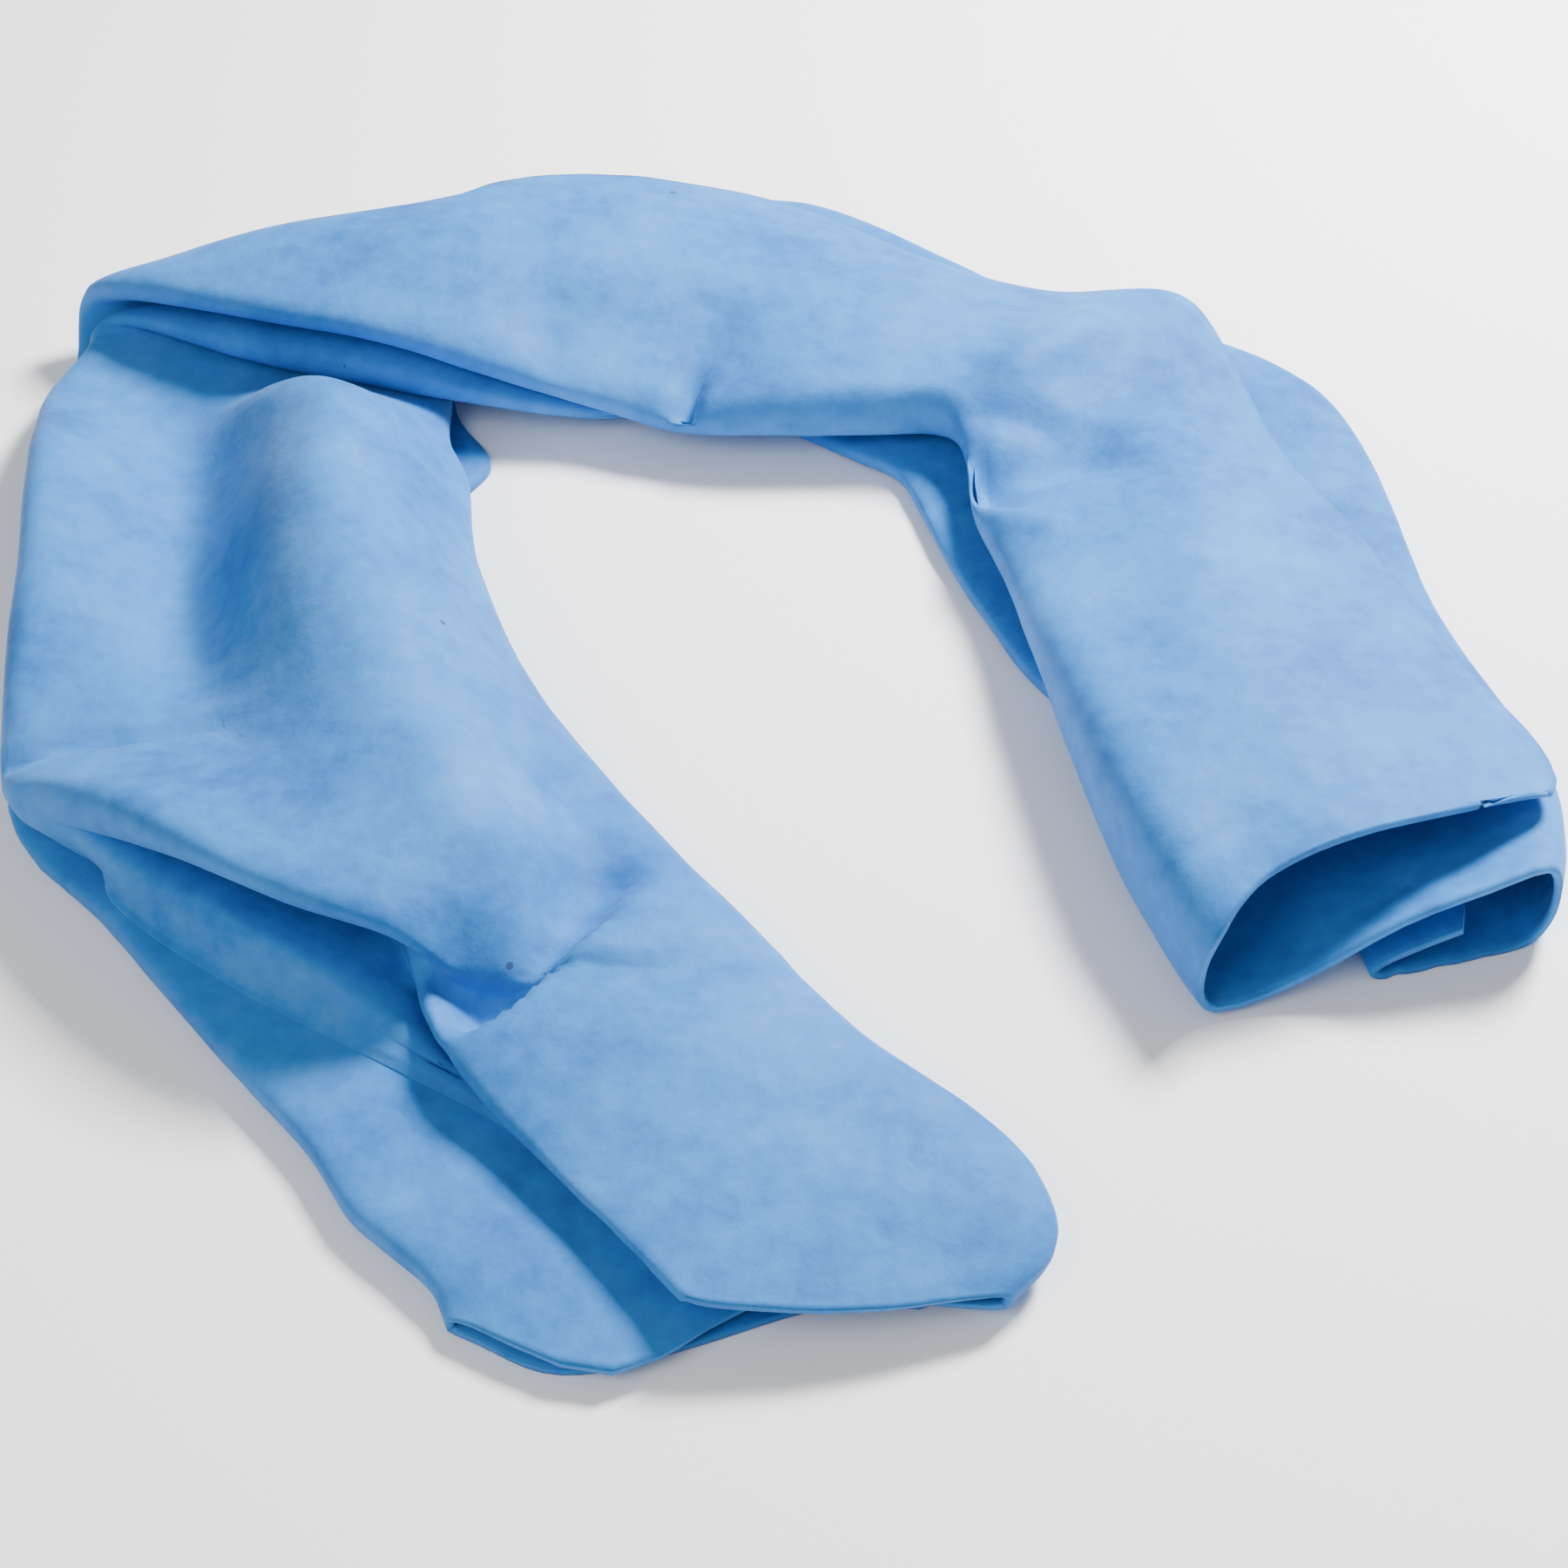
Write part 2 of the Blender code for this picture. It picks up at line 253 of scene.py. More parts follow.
SECTIONS: tuple[Section, ...] = (
    # name, plan, a, b, then c, d, reach, step, and slide where C is pushed forward
    Section("right end", (92, -62, 175.5, -39), (30, 36, 28), (0, 19, 27),
            FLAT, (4.2, 10), (1.00, 0.50, 0.74), (0.72, -0.07), cuts=6, trim=20),
    Section("right lip", (86, -50, 179.5, -27), (28, 36, 29), (0, 14, 24),
            FLAT, (4.2, 9), (0.99, 0.48, 0.75), (0.70, -0.07), trim=9),
    Section("right low", (75, -18, 182, -3), (25, 35, 31), (1, 8, 20),
            FLAT, (4.2, 6), (0.96, 0.40, 0.76), (0.67, -0.07)),
    Section("right mid", (68, 12, 175, 26), (20, 34, 29), (5, 9, 16),
            FLAT, (4.2, 5), (0.93, 0.20, 0.70), (0.50, -0.07)),
    Section("right upper", (62, 40, 165, 58), (18, 31, 25), (8, 9, 14),
            FLAT, (4.2, 4), (0.91, 0.03, 0.60), (0.45, -0.07)),
    Section("right kink", (57, 68, 161, 88), (17, 29, 21), (9, 9, 13),
            FLAT, (4.2, 4), (0.86, -0.04, 0.50), (0.45, -0.07)),
    Section("right dent", (49, 94, 158, 120), (16, 24, 20), (9, 9, 12),
            FLAT, (4.2, 4), (0.76, -0.06, 0.50), (0.45, -0.07)),
    Section("corner low", (49, 118, 148, 154), (21, 20, 23), (9, 9, 12),
            FLAT, (4.2, 4), (0.74, -0.13, 0.50), (0.45, -0.07)),
    Section("corner high", (42, 132, 116, 178), (28, 27, 25), (9, 9, 12),
            FLAT, (4.2, 4), (0.93, -0.14, 0.50), (0.45, -0.07)),
    Section("back right", (20, 131, 79, 187), (18, 26, 24), (9, 9, 12),
            FLAT, (4.2, 4), (0.93, 0.02, 0.50), (0.45, -0.07)),
    Section("back mid", (-4, 131, 50, 211), (18, 27, 24), (8, 9, 12),
            FLAT, (4.2, 4), (0.85, 0.16, 0.55), (0.48, -0.07)),
    Section("back tuck", (-28, 132, 9, 242), (20, 28, 18), (8, 10, 13),
            FLAT, (4.2, 4), (0.84, 0.24, 0.60), (0.55, -0.07)),
    Section("back left", (-50, 141, -28, 236), (24, 33, 18), (10, 13, 15),
            (2, 2, 2, 2, 2, 5), (8, 7), (0.94, 0.04, 0.55), (0.50, -0.07)),
    Section("fold near", (-80, 144, -57, 226), (30, 37, 28), (19, 20, 21),
            (9, 9, 9, 9, 9, 11.5), (17, 14), (1.00, -0.02, 0.50), (0.45, -0.07)),
    Section("fold high", (-110, 149, -80, 218), (33, 40, 35), (28, 26, 24),
            (13, 13, 13, 13, 13, 12), (23, 18), (0.99, -0.03, 0.50), (0.45, -0.07)),
    Section("fold tip", (-146, 160, -87, 213), (33, 38, 34), (27, 26, 25),
            (13, 13, 13, 13, 13, 12), (21, 20), (1.00, -0.01, 0.50), (0.45, -0.07)),
    Section("fold before", (-187, 179, -95, 211), (30, 35, 29), (21, 22, 21),
            (12, 12, 12, 12, 12, 12), (15, 15), (1.00, 0.03, 0.50), (0.45, -0.07), cuts=10),
    Section("slanted fold", (-194, 173, -95, 212), (16, 18, 16), (13, 13, 12),
            (11, 11, 11, 11, 11, 11), (12, 12), (1.00, 0.03, 0.50), (0.45, -0.07), wrap=1, cuts=10),
    Section("fold after", (-197, 170, -94, 210), (0, 0, 0), (4.2, 3.2, 3.2),
            (9, 9, 9, 9, 9, 10.2), (6, 6), (0.98, 0.03, 0.50), (0.45, -0.07)),
    Section("left under", (-204, 151, -92, 152), (0, 0, 0), (4.2, 3.2, 3.2),
            (9, 8.5, 8.5, 8.5, 8.5, 10.4), (6, 6), (1.00, 0.02, 0.48), (0.55, -0.16)),
    Section("left back", (-203, 131, -91, 131), (0, 0, 0), (4.2, 3.2, 3.2),
            (13, 33, 30, 6, 10, 19), (6, 6), (1.12, 0.02, 0.26), (0.60, -0.20), (2, 2, 0, 0, 0, 0)),
    Section("left high", (-198, 110, -84, 114), (0, 0, 0), (4.2, 3.2, 3.2),
            (15, 40, 36, 6, 19, 28), (6, 6), (0.95, 0.00, 0.26), (0.62, -0.24)),
    Section("left valley", (-194, 78, -80, 80), (0, 0, 0), (4.2, 3.2, 3.2),
            (15, 45, 41, 6.5, 22, 29), (7, 6), (0.95, 0.00, 0.26), (0.60, -0.22)),
    Section("left mound", (-190, 42, -66, 42), (0, 0, 0), (4.2, 3.2, 3.2),
            (15, 47, 43, 10, 21, 27), (8, 6), (0.95, 0.00, 0.28), (0.58, -0.20)),
    Section("left crease", (-186, 7, -48, 10), (0, 0, 0), (4.2, 3.2, 3.2),
            (15, 42, 42, 24, 20, 18), (8, 6), (0.95, 0.00, 0.30), (0.62, -0.25), (0, 16, 18, 4, 3, 5)),
    Section("roll back", (-183, -4, -24, -24), (0, 0, 0), (4.2, 3.2, 3.2),
            (15, 36, 40, 40, 36, 20), (9, 6), (0.95, 0.01, 0.26), (0.62, -0.21), (0, 30, 38, 29, 16, 4)),
    Section("roll lip", (-177, -14, -4, -50), (0, 0, 0), (4.2, 3.2, 3.2),
            (15, 26, 36, 37, 32, 17), (9, 6), (0.95, 0.02, 0.18), (0.58, -0.12),
            (0, 21, 33, 34, 18, 0), cuts=14),
    Section("pocket", (-169, -22, 5, -63), (0, 0, 0), (4.2, 3.2, 3.2),
            (15, 20, 26, 9, 17, 19), (8, 6), (0.95, 0.03, 0.07), (0.54, -0.10),
            (0, 12, 20, -8, -4, -3), cuts=12),
    Section("shelf", (-157, -34, 15, -76), (0, 0, 0), (7, 4.5, 3.2),
            (16, 20, 23, 9, 19, 19), (9, 7), (0.95, 0.06, 0.01), (0.47, 0.00), (0, 9, 19, 8, 8, 0)),
    Section("flap start", (-139, -57, 26, -86), (0, 0, 0), (7, 4.5, 3.2),
            (16, 20, 21, 8, 15, 14), (8, 7), (0.95, 0.09, 0.04), (0.38, 0.08), (0, 2, 15, 2, 1, -5)),
    Section("flap upper", (-117, -83, 39, -96), (0, 0, 0), (7, 4.5, 3.2),
            (15, 19, 18, 8, 10, 9), (8, 7), (0.95, 0.14, 0.09), (0.28, 0.13), (0, -2, 5, -3, -6, -12)),
    Section("flap mid", (-101, -101, 49, -106), (0, 0, 0), (7, 4.5, 3.2),
            (14, 18, 15, 9, 8.5, 8.5), (7, 6.5), (0.95, 0.29, 0.25), (0.23, 0.21), (0, -5, 0, -2, -4, -7)),
    Section("flap low", (-92, -118, 55, -118), (0, 0, 0), (7, 4.5, 3.2),
            (13, 17, 14, 9, 8.5, 8.5), (7, 6.5), (0.95, 0.42, 0.39), (0.26, 0.28), (0, -3, -1, -4, -4, -4)),
    Section("flap end", (-73, -134, 56, -130), (0, 0, 0), (7, 4.5, 3.2),
            (11, 15, 14.5, 8.6, 8.5, 8.5), (6.8, 6.3), (0.92, 0.47, 0.44), (0.27, 0.30),
            (0, 1, 1, -2, -3, -4), base=(0, 3, 0, 0, 0)),
    Section("left end", (-68, -143, 45, -141), (0, 0, 0), (4.2, 3.2, 3.2),
            (8, 12, 15, 8.6, 8.5, 8.5), (6.8, 6.3), (0.85, 0.50, 0.47), (0.38, 0.22),
            (0, 7, 4, -1, -4, -6), base=(2, 18, -4, -3, 0), cuts=0),
)
FIRST_TURNED = "fold after"
ACROSS_CUTS: tuple[int, ...] = (7, 7, 7, 6, 5, 5, 3, 3, 3, 3, 5, 5, 9, 9, 9, 9, 8, 5, 5, 3, 3)


@dataclass(frozen=True)
class Crease:
    """A soft furrow or ridge pressed into one panel, straight in plan.

    Args:
        panel: the panel that it lies on.
        start: plan x, y of one end, in parts of the span.
        end: plan x, y of the other end.
        width: half width on its left, seen from start to end, in the same parts.
        depth: how deep it goes, in parts of the loft; below 0 it is a ridge.
        steep: 0 gives both sides the same width, near 1 makes the right side a step.
        fade: share of its length over which it fades out at each end.
    """

    panel: Panel
    start: Two
    end: Two
    width: float
    depth: float
    steep: float = 0.0
    fade: float = 0.3


PANEL_BLEND = 0.4       # control lines over which a crease fades at its panel's side
CREASES: tuple[Crease, ...] = (
    # left arm: the sharp crease over the roll, and the crumple at its end
    Crease(Panel.C, (-194, -1), (-150, 5), 3.0, 3.6, steep=0.2),
    Crease(Panel.C, (-170, 3), (-124, 6), 3.0, 2.8, steep=0.2),
    Crease(Panel.C, (-132, 8), (-121, -10), 1.6, 1.0),
    Crease(Panel.C, (-120, 8), (-130, -4), 1.4, 0.8),
    Crease(Panel.C, (-146, 38), (-130, 33), 1.4, 0.7),
    Crease(Panel.C, (-150, 24), (-120, 16), 2.4, 0.7),
    # soft ripples on the mound
    Crease(Panel.C, (-118, 44), (-88, 66), 2.4, 0.8),
    Crease(Panel.C, (-112, 36), (-84, 56), 2.4, 0.7),
    Crease(Panel.C, (-104, 28), (-80, 44), 2.4, 0.6),
    # valley on the near side of the mound, and the flap's upper crease
    Crease(Panel.C, (-56, 6), (-42, -52), 13.0, 8.0, steep=0.1),
    Crease(Panel.C, (-44, -56), (-36, -26), 12.0, 6.0, steep=0.7, fade=0.4),
    Crease(Panel.C, (-76, -86), (-36, -42), 15.0, 12.0, steep=0.75),
    Crease(Panel.C, (-80, -2), (-62, -52), 11.0, -4.0),
    Crease(Panel.C, (-76, -56), (-62, -78), 7.0, 4.5),
    # back: the tuck notch and the soft bands beside it
    Crease(Panel.A, (-32, 116), (-20, 152), 5.0, 7.0, steep=0.5, fade=0.4),
    Crease(Panel.A, (-27, 138), (-14, 176), 9.0, 3.0),
    Crease(Panel.A, (-64, 134), (-70, 200), 8.0, 1.6),
    # right corner: dent, kink and the bright ridge above it
    Crease(Panel.A, (42, 102), (96, 114), 12.0, 8.0, steep=0.2),
    Crease(Panel.A, (44, 128), (78, 122), 5.0, 3.0),
    Crease(Panel.A, (48, 92), (74, 76), 4.0, -2.0),
    Crease(Panel.A, (50, 132), (94, 166), 8.0, -4.5),
    Crease(Panel.A, (40, 124), (62, 84), 6.0, 5.0, steep=0.4),
    # right end: the pressed line beside the cut end
    Crease(Panel.A, (174, 2), (84, -42), 1.8, 1.0, steep=0.3, fade=0.15),
)


def mix(low: Value, high: Value, share: float = 0.5) -> Value:
    """Value part of the way from low to high."""
    return low + (high - low) * share


def unit(vectors: np.ndarray) -> np.ndarray:
    """Vectors of length 1."""
    return vectors / np.maximum(np.linalg.norm(vectors, axis=2, keepdims=True), TINY)


@dataclass(frozen=True)
class FoldedSheet:
    """Works out the folded sheet's surface and makes its mesh.

    Args:
        sizes: real sizes of the sheet and loop.
        sections: the sections along the ribbon, right end first.
        creases: the creases pressed into it.
        places: places of the control lines across the ribbon.
        ripple: the damp sheet's unevenness.
        normal_match: how alike two normals are, 1 for the same, for the pressed one to be used.
    """

    sizes: SheetSizes
    sections: tuple[Section, ...] = SECTIONS
    creases: tuple[Crease, ...] = CREASES
    places: Across = Across()
    ripple: Ripple = Ripple()
    normal_match: float = 0.6

    def _bend(self, top: float, low: float) -> float:
        """How far a fold's last points sit from its tip, by the height it spans."""
        return min(max(abs(top - low) / 2, self.sizes.bend_least), self.sizes.bend_most)

    def _across(self, row: Section, length: float) -> list[Four]:
        """Control points of one section.

        Args:
            row: the section.
            length: its length from the neck fold to the rim fold, in parts of the span.

        Returns:
            Place across, height, forward slide and wrap rank of each control line.
        """
        at = self.places
        a_edge, roll, d_edge = row.reach
        step = row.step[0]
        under = step + row.step[1]
        tip = self.sizes.tip / length
        neck = at.neck_bend * self._bend(row.a[2], row.b[0]) / length
        rim = at.rim_bend * self._bend(row.b[2], row.c[0]) / length
        turn = at.roll_bend * self._bend(row.c[5], row.d[0]) / length
        if d_edge > roll:       # D is rolled back over C
            beside, turned, after = turn, roll - tip, roll + turn
        else:                   # D runs on flat as the edge of C
            beside, turned, after = at.edge_gap, roll, mix(roll, d_edge, at.edge_share)
        a, b, c, d, base, slide = row.a, row.b, row.c, row.d, row.base, row.slide
        trim = [row.trim * share for share in (a_edge, *at.trim)]
        return [
            (a_edge, a[0], trim[0] + base[3], 3),
            (mix(a_edge, at.a_outer, at.a_outer), mix(a[0], a[1], at.far), trim[1] + base[2], 3),
            (at.a_middle, a[1], trim[2] + mix(base[1], base[2]), 3),
            (at.a_neck, mix(a[1], a[2], at.far), trim[3] + mix(base[0], base[1], at.base_far), 3),
            (neck, a[2], base[0], 3),
            (-tip, mix(a[2], b[0]), base[0], 2.5),
            (neck, b[0], base[0], 2),
            (at.b_neck, mix(b[0], b[1], at.near), base[1], 2),
            (at.b_middle, b[1], base[2], 2),
            (at.b_rim, mix(b[1], b[2]), base[3], 2),
            (1.0 - rim, b[2], base[4], 2),
            (1.0 + tip, mix(b[2], c[0]), base[4], 1),
            (1.0 - rim, c[0], slide[0], 0),
            (mix(step, at.c_rim), c[1], slide[1], 0),
            (step, c[2], slide[2], 0),
            (under, c[3], slide[3], 0),
            (mix(roll, under), c[4], slide[4], 0),
            (roll + beside, c[5], slide[5], 0),
            (turned, mix(c[5], d[0]), slide[5], 0.5),
            (after, d[0], slide[5], 1),
            (mix(roll, d_edge, at.d_share), mix(d[0], d[1], at.far), slide[5], 1),
            (d_edge, d[1], slide[5], 1),
        ]

    def control_net(self) -> np.ndarray:
        """Control points of the whole sheet, a row for each section, in metres."""
        size = self.sizes
        arm = Arm.UPRIGHT
        net = []
        for row in self.sections:
            if row.name == FIRST_TURNED:
                arm = Arm.TURNED
            neck_x, neck_y, rim_x, rim_y = row.plan
            over_x, over_y = rim_x - neck_x, rim_y - neck_y
            length = math.hypot(over_x, over_y)
            on_x, on_y = -over_y / length * arm.value, over_x / length * arm.value
            line = []
            for place, height, slide, rank in self._across(row, length):
                wrap = size.wrap_pitch * (rank + size.wrap_first) * row.wrap
                x = neck_x + over_x * place + on_x * slide - size.centre[0]
                y = neck_y + over_y * place + on_y * slide - size.centre[1]
                line.append((
                    x * size.part + wrap * size.wrap_way[0],
                    y * size.part + wrap * size.wrap_way[1],
                    size.thickness / 2 + height * size.lift,
                ))
            net.append(line)
        return np.array(net)

    def _basis(self, cuts: list[int]) -> tuple[np.ndarray, np.ndarray]:
        """Weights of a smooth run, between a B-spline and a curve through every point.

        Args:
            cuts: mesh steps in each span between two control points.

        Returns:
            The weight of each control point at each mesh step, and its slope there.
        """
        spans = len(cuts)
        places = [(i, step / count) for i, count in enumerate(cuts) for step in range(count)]
        places.append((spans - 1, 1.0))
        weights = np.zeros((len(places), spans + 3))
        slopes = np.zeros((len(places), spans + 3))
        for k, (i, t) in enumerate(places):
            soft = np.array([
                (1 - t) ** 3,
                3 * t**3 - 6 * t**2 + 4,
                -3 * t**3 + 3 * t**2 + 3 * t + 1,
                t**3,
            ]) / 6
            soft_slope = np.array([
                -(1 - t) ** 2,
                3 * t**2 - 4 * t,
                -3 * t**2 + 2 * t + 1,
                t**2,
            ]) / 2
            firm = np.array([
                -t**3 + 2 * t**2 - t,
                3 * t**3 - 5 * t**2 + 2,
                -3 * t**3 + 4 * t**2 + t,
                t**3 - t**2,
            ]) / 2
            firm_slope = np.array([
                -3 * t**2 + 4 * t - 1,
                9 * t**2 - 10 * t,
                -9 * t**2 + 8 * t + 1,
                3 * t**2 - 2 * t,
            ]) / 2
            weights[k, i:i + 4] = mix(soft, firm, self.sizes.crisp)
            slopes[k, i:i + 4] = mix(soft_slope, firm_slope, self.sizes.crisp)
        for table in (weights, slopes):     # the run goes on straight past its two ends
            table[:, 1] += 2 * table[:, 0]
            table[:, 2] -= table[:, 0]
            table[:, -2] += 2 * table[:, -1]
            table[:, -3] -= table[:, -1]
        return weights[:, 1:-1], slopes[:, 1:-1]

    def surface(self) -> tuple[np.ndarray, np.ndarray, np.ndarray]:
        """The sheet's middle surface.

        Returns:
            Points and unit normals, rows along the ribbon, and the control line of each column.
        """
        net = self.control_net()
        along, along_slope = self._basis([row.cuts for row in self.sections[:-1]])
        over, over_slope = self._basis(list(ACROSS_CUTS))
        blend = "ai,bj,ijk->abk"
        grid = np.einsum(blend, along, over, net)
        on = np.einsum(blend, along_slope, over, net)
        across = np.einsum(blend, along, over_slope, net)
        lines = [i + step / count for i, count in enumerate(ACROSS_CUTS) for step in range(count)]
        return grid, unit(np.cross(on, across)), np.array(lines + [len(ACROSS_CUTS)])

    def press_creases(self, grid: np.ndarray, lines: np.ndarray) -> np.ndarray:
        """Presses the creases into the middle surface.

        Args:
            grid: points of the middle surface.
            lines: control line of each column.

        Returns:
            The points, moved up or down.
        """
        size = self.sizes
        x = grid[..., 0] / size.part + size.centre[0]
        y = grid[..., 1] / size.part + size.centre[1]
        drop = np.zeros_like(x)
        for crease in self.creases:
            (x0, y0), (x1, y1) = crease.start, crease.end
            dx, dy = x1 - x0, y1 - y0
            run = math.hypot(dx, dy)
            along = ((x - x0) * dx + (y - y0) * dy) / run**2
            off = ((x - x0) * dy - (y - y0) * dx) / run
            reach = np.where(off < 0, crease.width, crease.width * (1 - crease.steep))
            ends = np.clip(np.minimum(along, 1 - along) / crease.fade, 0, 1)
            ends = ends * ends * (3 - 2 * ends)
            low, high = crease.panel.value
            inside = np.minimum(lines - low, high - lines) + PANEL_BLEND
            inside = np.clip(inside / (2 * PANEL_BLEND), 0, 1)[None, :]
            drop += crease.depth * ends * inside * np.exp(-((off / reach) ** 2))
        moved = grid.copy()
        moved[..., 2] -= drop * size.lift
        return moved

    def add_ripple(self, grid: np.ndarray, normal: np.ndarray) -> np.ndarray:
        """Gives the damp sheet its slight unevenness.

        Args:
            grid: points of the middle surface.
            normal: its unit normals.

        Returns:
            The points, moved a little along the surface and up or down.
        """
        size, ripple = self.sizes, self.ripple
        rows, cols = grid.shape[:2]
        wave = np.empty((rows, cols, 3))
        for i in range(rows):
            for j in range(cols):
                flat = Vector((i / rows * size.length, j / cols * size.width, 0)) / ripple.length
                wave[i, j] = [
                    noise.noise(flat + Vector(place))
                    + noise.noise(flat * ripple.finer + Vector(place)) * ripple.second
                    for place in ripple.places
                ]
        wave -= normal * (wave * normal).sum(axis=2, keepdims=True) * ripple.ease
        return grid + wave * (ripple.size, ripple.size, ripple.size * ripple.rise)

    def build(self, name: str) -> bpy.types.Object:
        """Makes the closed, thick sheet with its flat cut sizes as UVs.

        Args:
            name: the object's name.

        Returns:
            The mesh object, at the origin.
        """
        grid, normal, lines = self.surface()
        grid = self.add_ripple(self.press_creases(grid, lines), normal)
        pressed = unit(np.cross(np.gradient(grid, axis=0), np.gradient(grid, axis=1)))
        match = (pressed * normal).sum(axis=2, keepdims=True)
        normal = np.where(match > self.normal_match, pressed, normal)
        half = normal * self.sizes.thickness / 2
        verts = np.concatenate([(grid + half).reshape(-1, 3), (grid - half).reshape(-1, 3)])
        verts[:, 2] = np.maximum(verts[:, 2], 0.0)      # nothing sinks into the floor
        mesh = bpy.data.meshes.new(name)
        mesh.from_pydata(verts.tolist(), [], self._faces(*grid.shape[:2]).tolist())
        mesh.update()
        mesh.shade_smooth()
        self._flat_uvs(mesh, grid)
        sheet = bpy.data.objects.new(name, mesh)
        bpy.context.scene.collection.objects.link(sheet)
        return sheet

    def _faces(self, rows: int, cols: int) -> np.ndarray:
        """Faces of the two skins and of the cut edge between them.

        Args:
            rows: points along the ribbon.
            cols: points across the ribbon.

        Returns:
            Four point numbers for each face.
        """
        below = rows * cols
        index = np.arange(below).reshape(rows, cols)
        corners = [index[:-1, :-1], index[1:, :-1], index[1:, 1:], index[:-1, 1:]]
        skin = np.stack(corners, axis=-1).reshape(-1, 4)
        edges = [index[0, :], index[1:, -1], index[-1, -2::-1], index[-2:0:-1, 0]]
        ring = np.concatenate(edges)
        after = np.roll(ring, -1)
        cut_edge = np.stack([ring, after, below + after, below + ring], axis=-1)
        return np.concatenate([skin, below + skin[:, ::-1], cut_edge])

    def _flat_uvs(self, mesh: bpy.types.Mesh, grid: np.ndarray) -> None:
        """Gives the mesh UVs in metres along and across the flat sheet.

        Args:
            mesh: the sheet's mesh.
            grid: points of its middle surface.
        """
        along = np.linalg.norm(np.diff(grid, axis=0), axis=2).mean(axis=1)
        over = np.linalg.norm(np.diff(grid, axis=1), axis=2).mean(axis=0)
        u = np.concatenate([[0], np.cumsum(along)])
        v = np.concatenate([[0], np.cumsum(over)])
        u *= self.sizes.length / u[-1]
        v *= self.sizes.width / v[-1]
        flat = np.stack(np.meshgrid(u, v, indexing="ij"), axis=-1).reshape(-1, 2)
        flat = np.concatenate([flat, flat])
        layer = mesh.uv_layers.new(name="flat_metres")
        corners = np.empty(len(mesh.loops), dtype=np.int32)
        mesh.loops.foreach_get("vertex_index", corners)
        layer.data.foreach_set("uv", flat[corners].astype(np.float32).ravel())


def linear(hex_colour: str) -> Four:
    """Linear colour, with full cover, of an sRGB hex colour such as "#86B0DC"."""
    parts = [int(hex_colour[i:i + 2], 16) / 255 for i in (1, 3, 5)]
    return (*(c / 12.92 if c <= 0.04045 else ((c + 0.055) / 1.055) ** 2.4 for c in parts), 1.0)


def add_node(
    tree: bpy.types.NodeTree,
    kind: str,
    label: str,
    settings: dict[str | int, object] | None = None,
    links: dict[str | int, bpy.types.NodeSocket] | None = None,
) -> bpy.types.Node:
    """Adds a shader node with its settings and links.

    Args:
        tree: the material's node tree.
        kind: Blender's name of the node.
        label: what the node is for.
        settings: values of its properties, and of its inputs by name or number.
        links: outputs of other nodes that feed its inputs, by name or number.

    Returns:
        The new node.
    """
    node = tree.nodes.new(kind)
    node.label = label
    node.location = (len(tree.nodes) * NODE_STEP, 0)
    for key, value in (settings or {}).items():
        if isinstance(key, str) and key not in node.inputs:
            setattr(node, key, value)
        else:
            node.inputs[key].default_value = value
    for key, output in (links or {}).items():
        tree.links.new(output, node.inputs[key])
    return node


def new_material(name: str) -> bpy.types.Material:
    """An empty material with a node tree."""
    material = bpy.data.materials.new(name)
    material.use_nodes = True
    material.node_tree.nodes.clear()
    return material


